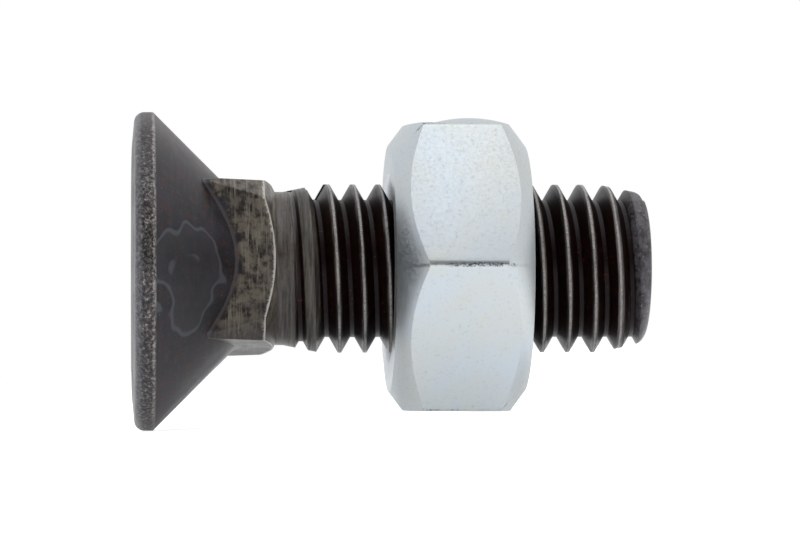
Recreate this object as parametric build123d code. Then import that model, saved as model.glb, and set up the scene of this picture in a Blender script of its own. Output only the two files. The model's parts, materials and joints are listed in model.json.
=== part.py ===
from build123d import *
from math import asin, atan2, cos, degrees, radians, sin, tan
import os

# A short countersunk square neck bolt, lying on its side with its hexagon nut on the thread.
# Both pieces are drawn on the bolt's own axis: z runs from the head's flat face to the tip, and
# x points up when the bolt lies down. Millimetres throughout.

# Bolt head: a flat face, a rim band and a 90 degree cone
head_diameter = 18.75
head_band = 1.25            # from the flat face to the corner where the cone starts
head_cone_angle = 90.0      # included angle
head_flat_diameter = 14.4   # the face falls away gently outside this
head_face_fall = 0.2
head_face_blend = 8.0
head_edge_radius = 0.6
head_offset = 0.17          # the forged head sits this far below the shank's axis

# Square neck
neck_width = 9.4            # across flats
neck_edge_radius = 0.45
neck_turn = 6.6             # about the axis, which lifts the side nearest +y off level
neck_length = 8.32          # from the head's face to the end of each flat, at its middle
neck_end_slope = 27.0       # the end falls back this far from square, towards the corners
neck_root_reach = 6.55      # the corners' reach from the axis, where they leave the cone
neck_root_place = 4.0
neck_tip_reach = 5.86       # and at the shank end, where the die filled them less
neck_tip_place = 7.8

# Shank and thread, M10 coarse, right-handed
bolt_length = 30.35
shank_diameter = 9.04
thread_diameter = 9.94
thread_pitch = 1.5
thread_depth = 0.92
thread_crest = 0.19         # width of the crest's flat
thread_start = 9.25         # the groove starts to sink in here
thread_runout = 1.5         # and is full depth after this, one turn later
blank_rise = 2.2            # the rolled crests grow over this length
blank_rise_start = 8.9
tip_taper_start = 27.6
tip_taper_fall = 0.55       # loss of radius along the taper
tip_round_radius = 0.9

# Nut
nut_width = 16.8            # across flats
nut_corner_radius = 0.6
nut_height = 8.0
nut_place = 15.15           # from the head's face to the nut's near face
nut_bearing_diameter = 14.6
nut_chamfer_angle = 37.0    # from the bearing face
nut_clearance = 0.06        # radial, between the thread's crests and the plain bore
nut_mouth_depth = 0.55
swell_height = 0.5          # low forged swelling on the top flat
swell_width = 5.5
swell_shift = 0.75          # along the axis from the nut's middle, towards the tip


def turned(points, rounds=()):
    """Solid turned about z from (radius, place) points, with some of its corners rounded."""
    face = make_face(Polyline(*[(r, 0, z) for r, z in points], close=True))
    for r, z, radius in rounds:
        corner = face.vertices().sort_by_distance((r, 0, z))[0]
        face = fillet(corner, radius)
    return revolve(face, Axis.Z)


def head():
    radius = head_diameter / 2
    cone_length = radius / tan(radians(head_cone_angle / 2))
    flat = head_flat_diameter / 2
    outline = [(0, 0), (flat, 0), (radius, head_face_fall), (radius, head_band), (0, head_band + cone_length)]
    rounds = [(radius, head_face_fall, head_edge_radius), (flat, 0, head_face_blend)]
    return Pos(-head_offset, 0, 0) * turned(outline, rounds)


def neck():
    start = head_band
    square = Rectangle(neck_width, neck_width)
    square = fillet(square.vertices(), neck_edge_radius)
    bar = Rot(0, 0, -neck_turn) * Pos(0, 0, start) * extrude(square, bolt_length - start)
    lean = (neck_root_reach - neck_tip_reach) / (neck_tip_place - neck_root_place)
    reach = neck_root_reach + lean * (neck_root_place - start)
    corner_end = neck_tip_reach - lean * (bolt_length - neck_tip_place)
    corners = turned([(0, start), (reach, start), (corner_end, bolt_length), (0, bolt_length)])
    slope = tan(radians(neck_end_slope))
    far = neck_length + neck_width / 2 * slope
    end = turned([(0, far), (far / slope, 0), (0, 0)])
    return bar & corners & end


def blank():
    """Shank and thread before the groove is rolled, with the tapered and rounded tip."""
    shank = shank_diameter / 2
    crest = thread_diameter / 2
    tip = crest - tip_taper_fall
    rise_end = blank_rise_start + blank_rise
    outline = [
        (0, head_band),
        (shank, head_band),
        (shank, blank_rise_start),
        (crest, rise_end),
        (crest, tip_taper_start),
        (tip, bolt_length),
        (0, bolt_length),
    ]
    return turned(outline, [(tip, bolt_length, tip_round_radius)])


def groove(place, length, root, end_root):
    """Helical cutter for the thread: its floor starts at radius root and ends at radius end_root."""
    cone = degrees(atan2(end_root - root, length))
    path = Helix(thread_pitch, length, root, center=(0, 0, place), cone_angle=cone)
    overrun = 0.1
    side = tan(radians(30))
    top_half = (thread_pitch - thread_crest) / 2 + overrun * side
    floor_half = top_half - (thread_depth + overrun) * side
    reach = thread_depth + overrun
    outline = [(0, -floor_half), (reach, -top_half), (reach, top_half), (0, floor_half)]
    points = [(root + out, 0, place + along) for out, along in outline]
    profile = make_face(Polyline(*points, close=True))
    return sweep(profile, path=path, is_frenet=True)


def threaded_rod():
    """Rod of the thread's full diameter, with the groove and its run-out cut into it."""
    crest = thread_diameter / 2
    root = crest - thread_depth
    full = thread_start + thread_runout
    rod = extrude(Circle(crest), bolt_length + thread_pitch)
    rod -= groove(full, bolt_length - full + thread_pitch, root, root)
    return rod - groove(thread_start, thread_runout, shank_diameter / 2, root)


def bolt():
    # the blank is turned a quarter, so that its seam doesn't lie on the start of the groove
    return (threaded_rod() & Rot(0, 0, 90) * blank()) + neck() + head()


def hex_nut():
    apothem = nut_width / 2
    bearing = nut_bearing_diameter / 2
    outer = nut_width
    fall = (outer - bearing) * tan(radians(nut_chamfer_angle))
    hexagon = RegularPolygon(apothem, 6, major_radius=False, rotation=30)
    hexagon = fillet(hexagon.vertices(), nut_corner_radius)
    prism = extrude(hexagon, nut_height)
    chamfered = turned([(0, 0), (bearing, 0), (outer, fall), (0, fall)])
    near = chamfered + Pos(0, 0, fall) * extrude(Circle(outer), nut_height)
    far = Pos(0, 0, nut_height) * Rot(180, 0, 0) * near
    ball = (swell_width ** 2 / 4 + swell_height ** 2) / (2 * swell_height)
    middle = nut_height / 2 + swell_shift
    cut = degrees(asin(1 - 2 * swell_height / ball))
    dome = Sphere(ball, arc_size1=cut, align=Align.NONE)
    swell = Pos(apothem + swell_height - ball, 0, middle) * Rot(0, 90, 0) * dome
    body = (prism + swell) & near & far
    bore = thread_diameter / 2 + nut_clearance
    mouth = bore + nut_mouth_depth
    hole = turned([
        (0, -nut_mouth_depth),
        (mouth + nut_mouth_depth, -nut_mouth_depth),
        (bore, nut_mouth_depth),
        (bore, nut_height - nut_mouth_depth),
        (mouth + nut_mouth_depth, nut_height + nut_mouth_depth),
        (0, nut_height + nut_mouth_depth),
    ])
    return Pos(0, 0, nut_place) * (body - hole)


def lying_down(pieces):
    """Pieces laid on the head's rim and the nut's lower flat, over the middle of the ground they cover."""
    rim = head_diameter / 2 + head_offset
    apothem = nut_width / 2
    chamfer = (apothem - nut_bearing_diameter / 2) * tan(radians(nut_chamfer_angle))
    run = nut_place + nut_height - chamfer - head_band
    dip = atan2(rim - apothem, run)
    axis = Vector(cos(dip), 0, -sin(dip))
    up = Vector(sin(dip), 0, cos(dip))
    lying = Plane(origin=(0, 0, 0), x_dir=up, z_dir=axis)
    laid = {name: lying.location * shape for name, shape in pieces.items()}
    boxes = [shape.bounding_box() for shape in laid.values()]
    middle_x = (min(box.min.X for box in boxes) + max(box.max.X for box in boxes)) / 2
    floor = -(rim * cos(dip) + head_band * sin(dip))
    return {name: Pos(-middle_x, 0, -floor) * shape for name, shape in laid.items()}


os.makedirs("parts", exist_ok=True)
for name, shape in lying_down({"bolt": bolt(), "hex_nut": hex_nut()}).items():
    export_step(shape, f"parts/{name}.step")
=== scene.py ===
import json
from math import cos, pi, radians, sin, tan

import bpy
from mathutils import Matrix, Vector


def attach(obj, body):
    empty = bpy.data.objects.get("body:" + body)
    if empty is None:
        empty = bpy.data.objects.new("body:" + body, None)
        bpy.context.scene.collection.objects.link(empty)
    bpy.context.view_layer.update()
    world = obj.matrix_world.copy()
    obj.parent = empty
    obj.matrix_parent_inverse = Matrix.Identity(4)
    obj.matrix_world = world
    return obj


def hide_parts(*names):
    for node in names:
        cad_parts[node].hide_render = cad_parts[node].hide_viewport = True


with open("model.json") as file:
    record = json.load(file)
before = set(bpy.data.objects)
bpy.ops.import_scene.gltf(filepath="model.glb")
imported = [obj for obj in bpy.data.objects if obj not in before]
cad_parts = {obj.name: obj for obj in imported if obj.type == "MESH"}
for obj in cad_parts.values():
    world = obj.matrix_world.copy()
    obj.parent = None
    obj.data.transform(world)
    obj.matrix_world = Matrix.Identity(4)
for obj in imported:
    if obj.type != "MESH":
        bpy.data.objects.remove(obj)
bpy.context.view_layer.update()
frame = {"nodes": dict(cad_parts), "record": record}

MM = 0.001
mounts = {m["name"]: m for m in frame["record"]["mounts"]}

# The bolt's own axes, as the CAD has them: z from the head to the tip, x up, y towards the viewer.
AXIS = Vector(mounts["threaded_end"]["axis"])
SIDE = Vector((0, -1, 0))
UP = SIDE.cross(AXIS)
BOLT_LENGTH = 30.35
FACE = Vector(mounts["threaded_end"]["pos_m"]) - AXIS * BOLT_LENGTH * MM
BOLT_AXES = Matrix((UP, SIDE, AXIS)).transposed().to_4x4()
BOLT_AXES.translation = FACE

# Sizes in millimetres
PITCH = 1.5
CREST_PLACE = 10.0          # a crest crosses the top of the bolt here, and every pitch after
HEAD_CONE_SUM = 10.625      # distance along the axis plus distance from it, all over the head's cone
HEAD_OFFSET = 0.17          # the head sits this far below the shank's axis
RIM_CORNER = 1.25           # from the head's face to the corner where the cone starts
NECK_HALF_WIDTH = 4.7
NECK_END_SLOPE = radians(27.0)
NUT_PLACE = (Vector(mounts["nut_bearing_face"]["pos_m"]) - FACE).dot(AXIS) / MM
NUT_HEIGHT = 8.0
NUT_WIDTH = 16.8
NUT_CORNER_RADIUS = 0.6
NUT_BEARING_RADIUS = 7.3
NUT_CHAMFER = radians(37.0)
NUT_THREAD_ROOT = 5.03
NUT_THREAD_CREST = 4.19
NUT_THREAD_RIDGE = 0.35     # width of the internal thread's crest
NUT_MOUTH_RADIUS = 5.58
SWELL_HEIGHT = 0.5
SWELL_WIDTH = 5.5
SWELL_SHIFT = 0.75


# ---------------------------------------------------------------- modelling by hand

def only(obj):
    """Selects one object and makes it the active one."""
    bpy.ops.object.select_all(action="DESELECT")
    obj.select_set(True)
    bpy.context.view_layer.objects.active = obj


def turned(name, rings, steps):
    """A round body: a filled circle, extruded and scaled from ring to ring. Rings are (radius, height)."""
    bpy.ops.object.select_all(action="DESELECT")
    radius, height = rings[0]
    bpy.ops.mesh.primitive_circle_add(
        vertices=steps, radius=radius * MM, fill_type="NGON", location=(0, 0, height * MM))
    obj = bpy.context.object
    obj.name = name
    bpy.ops.object.transform_apply(location=True)
    bpy.ops.object.mode_set(mode="EDIT")
    bpy.ops.mesh.select_all(action="SELECT")
    for next_radius, next_height in rings[1:]:
        move = (0, 0, (next_height - height) * MM)
        bpy.ops.mesh.extrude_region_move(TRANSFORM_OT_translate={"value": move})
        share = next_radius / radius
        bpy.ops.transform.resize(value=(share, share, 1), center_override=(0, 0, next_height * MM))
        radius, height = next_radius, next_height
    bpy.ops.mesh.select_all(action="SELECT")
    bpy.ops.mesh.normals_make_consistent(inside=False)
    bpy.ops.object.mode_set(mode="OBJECT")
    return obj


def cut_across(obj, point, normal, drop_far):
    """Cuts a body flat through a point, fills the cut and drops what lies beyond it."""
    only(obj)
    bpy.ops.object.mode_set(mode="EDIT")
    bpy.ops.mesh.select_all(action="SELECT")
    bpy.ops.mesh.bisect(
        plane_co=point, plane_no=normal, use_fill=False, clear_outer=drop_far, clear_inner=not drop_far)
    bpy.ops.mesh.edge_face_add()
    bpy.ops.object.mode_set(mode="OBJECT")


def combine(body, tool, operation):
    """Joins, cuts or intersects a body with a tool, which is used up."""
    only(body)
    change = body.modifiers.new("change", "BOOLEAN")
    change.operation = operation
    change.solver = "EXACT"
    change.object = tool
    bpy.context.view_layer.update()
    bpy.ops.object.modifier_apply(modifier=change.name)
    only(tool)
    bpy.ops.object.delete()
    only(body)


def set_in_place(obj):
    """Moves a piece modelled on the bolt's axes to its place, with the place kept in its mesh."""
    only(obj)
    obj.matrix_world = BOLT_AXES
    bpy.ops.object.transform_apply(location=True, rotation=True, scale=True)


def ease_edges(obj, width, angle):
    """Breaks the sharp edges as tumbling and plating do, and smooths the faces between them."""
    only(obj)
    ease = obj.modifiers.new("ease", "BEVEL")
    ease.width = width * MM
    ease.segments = 2
    ease.limit_method = "ANGLE"
    ease.angle_limit = radians(angle)
    ease.harden_normals = False
    bpy.ops.object.modifier_apply(modifier=ease.name)
    bpy.ops.object.shade_smooth_by_angle(angle=radians(angle))


# ---------------------------------------------------------------- nut

def hexagon_bar():
    """Six-sided bar stock with its corners rounded."""
    corner = NUT_WIDTH / 2 / cos(pi / 6)
    bpy.ops.object.select_all(action="DESELECT")
    middle = NUT_PLACE + NUT_HEIGHT / 2
    bpy.ops.mesh.primitive_cylinder_add(
        vertices=6, radius=corner * MM, depth=NUT_HEIGHT * MM, location=(0, 0, middle * MM))
    bar = bpy.context.object
    bpy.ops.object.transform_apply(location=True)
    bpy.ops.object.mode_set(mode="EDIT")
    bpy.ops.mesh.select_all(action="DESELECT")
    bpy.ops.object.mode_set(mode="OBJECT")
    vertices = bar.data.vertices
    for edge in bar.data.edges:
        one, other = (vertices[i].co for i in edge.vertices)
        edge.select = abs(one.z - other.z) > NUT_HEIGHT * MM / 2
    bpy.ops.object.mode_set(mode="EDIT")
    bpy.ops.mesh.select_mode(type="EDGE")
    bpy.ops.mesh.bevel(offset=NUT_CORNER_RADIUS * tan(pi / 6) * MM, segments=6, affect="EDGES")
    bpy.ops.object.mode_set(mode="OBJECT")
    return bar


def swelling():
    """Low dome left by the forging on the flat that lies uppermost."""
    ball = (SWELL_WIDTH ** 2 / 4 + SWELL_HEIGHT ** 2) / (2 * SWELL_HEIGHT)
    centre = NUT_WIDTH / 2 + SWELL_HEIGHT - ball
    place = NUT_PLACE + NUT_HEIGHT / 2 + SWELL_SHIFT
    bpy.ops.object.select_all(action="DESELECT")
    bpy.ops.mesh.primitive_uv_sphere_add(
        segments=160, ring_count=80, radius=ball * MM, location=(centre * MM, 0, place * MM))
    dome = bpy.context.object
    bpy.ops.object.transform_apply(location=True)
    low = (NUT_WIDTH / 2 - SWELL_HEIGHT) * MM
    cut_across(dome, (low, 0, 0), (1, 0, 0), drop_far=False)
    return dome


def tap():
    """The thread's negative: one turn of its outline wound up the axis, then cut off flat."""
    start = CREST_PLACE + PITCH * ((NUT_PLACE - CREST_PLACE) // PITCH - 1)
    slope = tan(radians(30))
    ridge_edge = (PITCH - NUT_THREAD_RIDGE) / 2
    groove_edge = ridge_edge - (NUT_THREAD_ROOT - NUT_THREAD_CREST) * slope
    outline = [
        (NUT_THREAD_ROOT, 0),
        (NUT_THREAD_ROOT, groove_edge),
        (NUT_THREAD_CREST, ridge_edge),
        (NUT_THREAD_CREST, PITCH - ridge_edge),
        (NUT_THREAD_ROOT, PITCH - groove_edge),
        (NUT_THREAD_ROOT, PITCH),
    ]
    bpy.ops.object.select_all(action="DESELECT")
    bpy.ops.mesh.primitive_plane_add(size=MM)
    form = bpy.context.object
    bpy.ops.object.mode_set(mode="EDIT")
    bpy.ops.mesh.select_mode(type="VERT")
    bpy.ops.mesh.select_all(action="SELECT")
    radius, height = outline[0]
    bpy.ops.mesh.merge(type="CENTER")
    bpy.ops.transform.translate(value=(radius * MM, 0, (start + height) * MM))
    for next_radius, next_height in outline[1:]:
        step = ((next_radius - radius) * MM, 0, (next_height - height) * MM)
        bpy.ops.mesh.extrude_vertices_move(TRANSFORM_OT_translate={"value": step})
        radius, height = next_radius, next_height
    bpy.ops.object.mode_set(mode="OBJECT")
    wind = form.modifiers.new("wind", "SCREW")
    wind.axis = "Z"
    wind.steps = 96
    wind.render_steps = 96
    wind.screw_offset = PITCH * MM
    wind.iterations = int(NUT_HEIGHT / PITCH) + 4
    wind.use_merge_vertices = True
    wind.merge_threshold = 1e-6
    wind.use_normal_calculate = True
    bpy.ops.object.modifier_apply(modifier=wind.name)
    bpy.ops.object.mode_set(mode="EDIT")
    bpy.ops.mesh.select_all(action="SELECT")
    bpy.ops.mesh.remove_doubles(threshold=1e-6)
    bpy.ops.object.mode_set(mode="OBJECT")
    over = 0.2
    cut_across(form, (0, 0, (NUT_PLACE - over) * MM), (0, 0, 1), drop_far=False)
    cut_across(form, (0, 0, (NUT_PLACE + NUT_HEIGHT + over) * MM), (0, 0, 1), drop_far=True)
    only(form)
    bpy.ops.object.mode_set(mode="EDIT")
    bpy.ops.mesh.select_all(action="SELECT")
    bpy.ops.mesh.normals_make_consistent(inside=False)
    bpy.ops.mesh.flip_normals()         # a wound thread is recalculated inside out
    bpy.ops.object.mode_set(mode="OBJECT")
    return form


def hex_nut():
    """Hexagon nut, cold forged: chamfered both sides and tapped, with a countersunk mouth each side."""
    nut = hexagon_bar()
    nut.name = "hex_nut_plated"
    combine(nut, swelling(), "UNION")
    near, far = NUT_PLACE, NUT_PLACE + NUT_HEIGHT
    reach = NUT_WIDTH / 2 + 2
    fall = (reach - NUT_BEARING_RADIUS) * tan(NUT_CHAMFER)
    rings = [
        (NUT_BEARING_RADIUS, near),
        (reach, near + fall),
        (reach, far - fall),
        (NUT_BEARING_RADIUS, far),
    ]
    combine(nut, turned("chamfers", rings, 256), "INTERSECT")
    combine(nut, tap(), "DIFFERENCE")
    over = 0.5
    waist = NUT_THREAD_CREST - 0.3
    depth = NUT_MOUTH_RADIUS - waist
    bore = NUT_THREAD_ROOT + 0.04
    lead = NUT_MOUTH_RADIUS - bore
    plain = 1.4             # the thread starts past this, clear of the bolt's run-out when screwed fully on
    rings = [
        (NUT_MOUTH_RADIUS + over, near - over),
        (bore, near + lead),
        (bore, near + plain),
        (waist, near + plain + bore - waist),
        (waist, far - depth),
        (NUT_MOUTH_RADIUS + over, far + over),
    ]
    combine(nut, turned("mouths", rings, 192), "DIFFERENCE")
    set_in_place(nut)
    ease_edges(nut, 0.05, 22)
    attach(nut, "nut")
    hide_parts("hex_nut")
    return nut


# ---------------------------------------------------------------- materials

def colour(code):
    """Linear colour of an sRGB hex code."""
    parts = [int(code[i:i + 2], 16) / 255 for i in (1, 3, 5)]
    return [p / 12.92 if p <= 0.04045 else ((p + 0.055) / 1.055) ** 2.4 for p in parts] + [1.0]


def add(tree, kind, inputs=(), **settings):
    """Adds a node with its settings. Inputs are (name or number, socket or value) pairs."""
    node = tree.nodes.new(kind)
    for name, value in settings.items():
        setattr(node, name, value)
    for name, value in inputs:
        socket = node.inputs[name]
        if isinstance(value, bpy.types.NodeSocket):
            tree.links.new(value, socket)
        else:
            socket.default_value = value
    return node


def new_material(name):
    """An empty material and its shader."""
    material = bpy.data.materials.new(name)
    material.use_nodes = True
    tree = material.node_tree
    tree.nodes.clear()
    shader = add(tree, "ShaderNodeBsdfPrincipled")
    add(tree, "ShaderNodeOutputMaterial", [("Surface", shader.outputs[0])])
    return material, tree, shader


def maths(tree, operation, *values):
    """One step of arithmetic on sockets or numbers."""
    return add(tree, "ShaderNodeMath", list(enumerate(values)), operation=operation).outputs[0]


def times(tree, one, other):
    return maths(tree, "MULTIPLY", one, other)


def plus(tree, one, other):
    return maths(tree, "ADD", one, other)


def minus(tree, one, other):
    return maths(tree, "SUBTRACT", one, other)


def fade(tree, value, low, high, to_low=0.0, to_high=1.0):
    """Smooth step of a value between two limits."""
    inputs = [("Value", value), ("From Min", low), ("From Max", high),
              ("To Min", to_low), ("To Max", to_high)]
    return add(tree, "ShaderNodeMapRange", inputs, interpolation_type="SMOOTHSTEP").outputs[0]


def blend(tree, share, one, other, way="MIX"):
    """Mixes two colours, each a socket or a hex code."""
    ends = [colour(c) if isinstance(c, str) else c for c in (one, other)]
    inputs = [(0, share), (6, ends[0]), (7, ends[1])]
    return add(tree, "ShaderNodeMix", inputs, data_type="RGBA", blend_type=way).outputs[2]


def grain(tree, place, scale, detail=4.0, roughness=0.6, distortion=0.0):
    """Noise with about `scale` grains per millimetre."""
    inputs = [("Vector", place), ("Scale", scale), ("Detail", detail), ("Roughness", roughness),
              ("Distortion", distortion)]
    return add(tree, "ShaderNodeTexNoise", inputs).outputs["Fac"]


def bolt_place(tree):
    """Place on the piece in millimetres along the bolt's own axes: x up, y towards the viewer, z along."""
    turn = BOLT_AXES.inverted()
    tilt = turn.to_euler()
    scale = 1 / MM
    where = add(tree, "ShaderNodeTexCoord").outputs["Object"]
    inputs = [("Vector", where), ("Location", turn.translation * scale), ("Rotation", tilt),
              ("Scale", (scale, scale, scale))]
    return add(tree, "ShaderNodeMapping", inputs, vector_type="POINT").outputs[0]


def round_the_axis(tree, place):
    """Distance along the axis and from it, the part of a turn round it from the top, then up and sideways."""
    parts = add(tree, "ShaderNodeSeparateXYZ", [(0, place)])
    up, side, along = parts.outputs
    out = maths(tree, "SQRT", plus(tree, times(tree, up, up), times(tree, side, side)))
    turn = maths(tree, "DIVIDE", maths(tree, "ARCTAN2", side, up), 2 * pi)
    return along, out, turn, up, side


def black_oxide_steel():
    """Blackened and oiled carbon steel: near black, a soft sheen, brighter where the black has worn off, and
    a painted highlight along the thread's crests.
    """
    material, tree, shader = new_material("black_oxide_steel")
    place = bolt_place(tree)
    along, out, turn, up, side = round_the_axis(tree, place)

    # mottling, from stains millimetres wide to grit, and streaks round the axis from turning and rolling
    stain = grain(tree, place, 0.35, 5.0, 0.6, 0.6)
    mottle = grain(tree, place, 1.7, 6.0, 0.65)
    grit = grain(tree, place, 5.5, 5.0, 0.75)
    fine = grain(tree, place, 14.0, 3.0, 0.7)
    ring = add(tree, "ShaderNodeCombineXYZ", [
        ("X", times(tree, along, 3.2)),
        ("Y", maths(tree, "DIVIDE", up, out)),
        ("Z", maths(tree, "DIVIDE", side, out)),
    ]).outputs[0]
    streak = grain(tree, ring, 1.6, 6.0, 0.75, 0.2)

    # cone of the head: blue-black, with brown in the mottling, fine scratches and a dried oil stain
    cone = blend(tree, fade(tree, stain, 0.35, 0.68), "#151214", "#2d2a30")
    cone = blend(tree, fade(tree, mottle, 0.44, 0.72, 0.0, 0.85), cone, "#43251f")
    cone = blend(tree, fade(tree, streak, 0.5, 0.75, 0.0, 0.5), cone, "#454248")
    cone = blend(tree, fade(tree, fine, 0.66, 0.72, 0.0, 0.9), cone, "#a39d98")
    away = add(tree, "ShaderNodeVectorMath", [(0, place), (1, (-0.6, 7.2, 2.9))], operation="DISTANCE")
    lobes = grain(tree, place, 0.45, 1.0, 0.4)
    tide = plus(tree, away.outputs["Value"], fade(tree, lobes, 0.3, 0.7, -1.0, 1.0))
    inside = fade(tree, tide, 2.5, 2.3)
    cone = blend(tree, times(tree, inside, 0.45), cone, "#37393b")
    line = times(tree, fade(tree, tide, 2.15, 2.4), fade(tree, tide, 2.72, 2.5))
    cone = blend(tree, times(tree, line, 0.6), cone, "#5a5e63")

    # rim: trimmed in the die, coarser and brighter, with its corner to the cone worn to bare metal
    rim = blend(tree, fade(tree, grit, 0.4, 0.58), "#1a1718", "#625d5b")
    rim = blend(tree, fade(tree, grit, 0.56, 0.66), rim, "#c4bfba")
    rim = blend(tree, fade(tree, mottle, 0.58, 0.75, 0.0, 0.7), rim, "#3c2620")
    edge = blend(tree, fade(tree, grit, 0.4, 0.62), "#4d4748", "#b9b3ae")
    on_rim = times(tree, fade(tree, out, 9.15, 9.3), fade(tree, along, 1.36, 1.26))
    from_edge = maths(tree, "ABSOLUTE", minus(tree, along, RIM_CORNER))
    edge_share = times(tree, fade(tree, from_edge, 0.14, 0.04), fade(tree, streak, 0.36, 0.52))
    on_edge = times(tree, fade(tree, out, 9.0, 9.2), edge_share)
    on_face = fade(tree, along, 0.62, 0.4)
    face = blend(tree, fade(tree, grit, 0.4, 0.65), "#4a494d", "#85858a")
    face = blend(tree, fade(tree, mottle, 0.5, 0.7, 0.0, 0.6), face, "#4a3b37")
    inner = fade(tree, out, 8.6, 7.6)
    face = blend(tree, times(tree, inner, fade(tree, stain, 0.35, 0.65, 0.35, 0.9)), face, "#242125")

    # square neck: olive brown, rusty, darker towards its lower side, dark along the cone's foot, with its end
    # edge worn bright
    neck = blend(tree, fade(tree, mottle, 0.38, 0.6), "#241e1c", "#736b5f")
    neck = blend(tree, fade(tree, streak, 0.48, 0.62, 0.0, 0.8), neck, "#938d7e")
    neck = blend(tree, fade(tree, grit, 0.56, 0.7, 0.0, 0.7), neck, "#57341f")
    neck = blend(tree, fade(tree, stain, 0.48, 0.62, 0.0, 0.6), neck, "#2b2a2c")
    neck = blend(tree, fade(tree, grit, 0.66, 0.72), neck, "#b5aea4")
    # darker towards the bottom of the neck
    low = fade(tree, up, -2.6, -4.2)
    neck = blend(tree, times(tree, low, fade(tree, mottle, 0.4, 0.6, 0.2, 0.7)), neck, "#1d1719")
    lowered = plus(tree, up, HEAD_OFFSET)
    squares = plus(tree, times(tree, lowered, lowered), times(tree, side, side))
    foot = minus(tree, plus(tree, along, maths(tree, "SQRT", squares)), HEAD_CONE_SUM)     # 0 on the cone
    broken = plus(tree, foot, fade(tree, mottle, 0.3, 0.7, -0.25, 0.05))
    on_neck = times(tree, fade(tree, broken, 0.095, 0.575), fade(tree, along, 8.7, 8.3))
    seam = times(tree, fade(tree, foot, 0.015, 0.075), fade(tree, foot, 0.375, 0.135))
    seam = times(tree, seam, fade(tree, along, 9.0, 8.0))
    end = plus(tree, along, times(tree, minus(tree, out, NECK_HALF_WIDTH), tan(NECK_END_SLOPE)))
    wear = fade(tree, grit, 0.35, 0.65, 8.24, 8.04)
    on_end = times(tree, fade(tree, end, wear, 8.26), fade(tree, end, 8.315, 8.3))
    on_end = times(tree, on_end, fade(tree, out, 4.6, 4.67))

    # shank: drawn bright under the oil, streaked round
    shank = blend(tree, fade(tree, streak, 0.35, 0.62), "#2c2624", "#68625a")
    shank = blend(tree, fade(tree, streak, 0.58, 0.72), shank, "#8a857d")
    shank = blend(tree, fade(tree, mottle, 0.56, 0.7, 0.0, 0.6), shank, "#44291c")
    on_shank = times(tree, fade(tree, along, 8.25, 8.4), fade(tree, out, 4.66, 4.6))

    # thread: oily black flanks, worn crests with a painted highlight along their tops, and grit in the roots
    wound = minus(tree, maths(tree, "DIVIDE", minus(tree, along, CREST_PLACE), PITCH), turn)
    from_crest = times(tree, maths(tree, "PINGPONG", wound, 0.5), PITCH)
    flank = blend(tree, fade(tree, mottle, 0.4, 0.7), "#100503", "#1e0c08")
    root = fade(tree, from_crest, 0.64, 0.70)
    flank = blend(tree, times(tree, root, fade(tree, grit, 0.35, 0.6)), flank, "#22130f")
    speck = times(tree, fade(tree, grit, 0.62, 0.67), fade(tree, from_crest, 0.2, 0.5))
    flank = blend(tree, times(tree, speck, fade(tree, stain, 0.5, 0.56)), flank, "#a4512a")
    worn = blend(tree, fade(tree, streak, 0.4, 0.62), "#2f2a29", "#6f6a67")
    crest = fade(tree, from_crest, fade(tree, streak, 0.3, 0.7, 0.14, 0.24), 0.10)
    thread = blend(tree, crest, flank, worn)
    # painted highlight: a thin bright line along each crest, partly bare worn metal and partly the glint of
    # the crest's rounding
    crest_wear_and_highlight = times(tree, fade(tree, from_crest, 0.085, 0.04), fade(tree, streak, 0.34, 0.5, 0.35, 1.0))
    thread = blend(tree, crest_wear_and_highlight, thread, blend(tree, fade(tree, fine, 0.35, 0.6), "#75706c", "#bfbab5"))
    on_thread = fade(tree, along, 9.3, 9.7)

    # first crest, rolled flat, and the tip, which is scuffed
    flat_crest = times(tree, fade(tree, along, 11.1, 10.8), fade(tree, from_crest, 0.5, 0.42))
    rolled = blend(tree, fade(tree, streak, 0.35, 0.65), "#38342f", "#6b675e")
    thread = blend(tree, flat_crest, thread, rolled)
    on_tip = times(tree, fade(tree, along, 28.9, 29.3), fade(tree, out, 4.05, 4.2))
    on_tip = maths(tree, "MAXIMUM", on_tip, fade(tree, along, 30.2, 30.3))
    tip = blend(tree, fade(tree, mottle, 0.35, 0.6), "#2f2a2c", "#5f5c60")
    tip = blend(tree, fade(tree, grit, 0.55, 0.66), tip, "#8f8b8c")

    base = blend(tree, on_neck, cone, neck)
    base = blend(tree, times(tree, seam, 0.45), base, "#6d6866")
    base = blend(tree, on_shank, base, shank)
    base = blend(tree, on_end, base, "#d8d2ca")
    base = blend(tree, on_face, base, face)
    base = blend(tree, on_rim, base, blend(tree, on_face, rim, face))
    base = blend(tree, on_edge, base, edge)
    base = blend(tree, on_thread, base, thread)
    base = blend(tree, on_tip, base, tip)
    tree.links.new(base, shader.inputs["Base Color"])

    shader.inputs["IOR"].default_value = 1.48
    shader.inputs["Specular Tint"].default_value = colour("#f1f2ff")
    oily = times(tree, on_thread, fade(tree, from_crest, 0.15, 0.25))
    tree.links.new(fade(tree, oily, 0.0, 1.0, 0.5, 0.2), shader.inputs["Specular IOR Level"])
    rough = fade(tree, stain, 0.3, 0.7, 0.32, 0.44)
    tree.links.new(rough, shader.inputs["Roughness"])
    height = plus(tree, times(tree, stain, 0.3), times(tree, grit, 0.35))
    bump = add(tree, "ShaderNodeBump", [("Strength", 0.3), ("Distance", 0.05 * MM), ("Height", height)])
    tree.links.new(bump.outputs[0], shader.inputs["Normal"])
    return material


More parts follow.
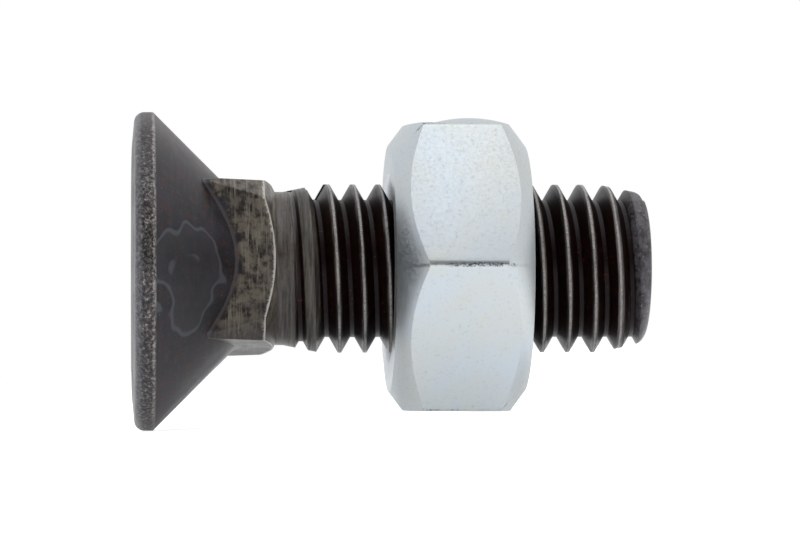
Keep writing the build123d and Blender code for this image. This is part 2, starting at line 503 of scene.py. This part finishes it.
def blue_zinc_plate():
    """Zinc electroplate, blue passivated, on forged steel: pale cool grey, satin, with fine scuffs."""
    material, tree, shader = new_material("blue_zinc_plate")
    place = bolt_place(tree)
    _, out, turn, _, _ = round_the_axis(tree, place)
    cloud = grain(tree, place, 0.3, 4.0, 0.6)
    fine = grain(tree, place, 5.0, 5.0, 0.7)
    grit = grain(tree, place, 9.0, 4.0, 0.75)
    base = blend(tree, fade(tree, cloud, 0.35, 0.65), "#cdd6dd", "#d0d5d6")
    base = blend(tree, fade(tree, fine, 0.56, 0.68, 0.0, 0.4), base, "#a9aeb0")
    warm = grain(tree, place, 0.55, 3.0, 0.5)
    base = blend(tree, fade(tree, warm, 0.62, 0.72, 0.0, 0.12), base, "#cfcaa8")

    # six corner edges, where the plating is scratched through in a thin, broken line
    slice_turn = maths(tree, "PINGPONG", minus(tree, turn, 1 / 12), 1 / 12)
    corner_side = times(tree, maths(tree, "SINE", times(tree, slice_turn, 2 * pi)), out)
    far_out = fade(tree, out, 8.8, 9.3)
    wander = plus(tree, corner_side, fade(tree, cloud, 0.3, 0.7, -0.12, 0.12))
    scratch = times(tree, fade(tree, wander, 0.11, 0.03), fade(tree, grit, 0.45, 0.6))
    base = blend(tree, times(tree, scratch, far_out), base, "#4c4a4c")

    # bore: oily, and darker than the outside: painted shade, as the bore lies out of the light
    bore = fade(tree, out, 5.6, 5.2)
    base = blend(tree, bore, base, "#6d6f73")
    tree.links.new(base, shader.inputs["Base Color"])
    shader.inputs["Metallic"].default_value = 1.0
    rough = fade(tree, fine, 0.3, 0.7, 0.3, 0.42)
    tree.links.new(rough, shader.inputs["Roughness"])
    height = plus(tree, times(tree, cloud, 0.5), times(tree, fine, 0.2))
    bump = add(tree, "ShaderNodeBump", [("Strength", 0.3), ("Distance", 0.05 * MM), ("Height", height)])
    tree.links.new(bump.outputs[0], shader.inputs["Normal"])
    return material


# ---------------------------------------------------------------- studio

def studio():
    """Pale floor and white surroundings, which are darker only where a camera and its stand would be."""
    bpy.ops.object.select_all(action="DESELECT")
    bpy.ops.mesh.primitive_plane_add(size=6.0, location=(0, 0, 0))
    floor = bpy.context.object
    floor.name = "floor"
    material, tree, shader = new_material("floor_paper")
    shader.inputs["Base Color"].default_value = colour("#f2f2f2")
    shader.inputs["Roughness"].default_value = 0.9
    shader.inputs["Emission Color"].default_value = (1, 1, 1, 1)
    rays = add(tree, "ShaderNodeLightPath")
    mirrored = times(tree, rays.outputs["Is Glossy Ray"], 0.42)
    seen = times(tree, rays.outputs["Is Camera Ray"], 0.8)
    tree.links.new(plus(tree, seen, mirrored), shader.inputs["Emission Strength"])
    floor.data.materials.append(material)

    world = bpy.data.worlds.new("studio")
    world.use_nodes = True
    bpy.context.scene.world = world
    tree = world.node_tree
    tree.nodes.clear()
    way = add(tree, "ShaderNodeTexCoord").outputs["Generated"]
    front = add(tree, "ShaderNodeVectorMath", [(0, way), (1, (0, -1, 0))], operation="DOT_PRODUCT")
    glow = fade(tree, front.outputs["Value"], 0.45, 0.95, 0.85, 0.12)
    rays = add(tree, "ShaderNodeLightPath")
    seen = rays.outputs["Is Camera Ray"]
    strength = add(tree, "ShaderNodeMix", [(0, seen), (2, glow), (3, 1.0)], data_type="FLOAT").outputs[0]
    light = add(tree, "ShaderNodeBackground", [("Color", (1, 1, 1, 1)), ("Strength", strength)])
    add(tree, "ShaderNodeOutputWorld", [("Surface", light.outputs[0])])


def lamp(name, place, size, power):
    """A soft square lamp that looks at the middle of the object."""
    bpy.ops.object.light_add(type="AREA", location=place)
    light = bpy.context.object
    light.name = name
    light.data.size = size
    light.data.energy = power
    light.rotation_euler = (Vector((0, 0, 0.009)) - Vector(place)).to_track_quat("-Z", "Y").to_euler()


def camera():
    """Looks across the bolt, square to it but for a few degrees that bring the head nearer."""
    distance = 250.0        # millimetres, as every length here
    yaw = radians(4.0)
    lift = radians(1.38)
    focus = 15.84           # place along the axis that the lens points at, from the head's face
    above = 0.118           # and a little over the axis
    up = UP * cos(lift) + SIDE * sin(lift)
    towards = SIDE * cos(lift) - UP * sin(lift)
    right = AXIS * cos(yaw) + towards * sin(yaw)
    back = towards * cos(yaw) - AXIS * sin(yaw)
    target = FACE + (AXIS * focus + up * above) * MM
    data = bpy.data.cameras.new("camera")
    data.sensor_width = 36.0
    data.lens = 190.305
    data.clip_start = 0.01
    seat = bpy.data.objects.new("camera", data)
    bpy.context.collection.objects.link(seat)
    seat.matrix_world = Matrix((right, up, back)).transposed().to_4x4()
    seat.matrix_world.translation = target + back * distance * MM
    bpy.context.scene.camera = seat


bolt = frame["nodes"]["bolt"]
bolt.data.materials.clear()
bolt.data.materials.append(black_oxide_steel())
nut = hex_nut()
nut.data.materials.clear()
nut.data.materials.append(blue_zinc_plate())
studio()
lamp("top_light", (0.05, -0.1, 0.5), 0.4, 0.3)
camera()
bpy.context.scene.view_settings.view_transform = "Standard"
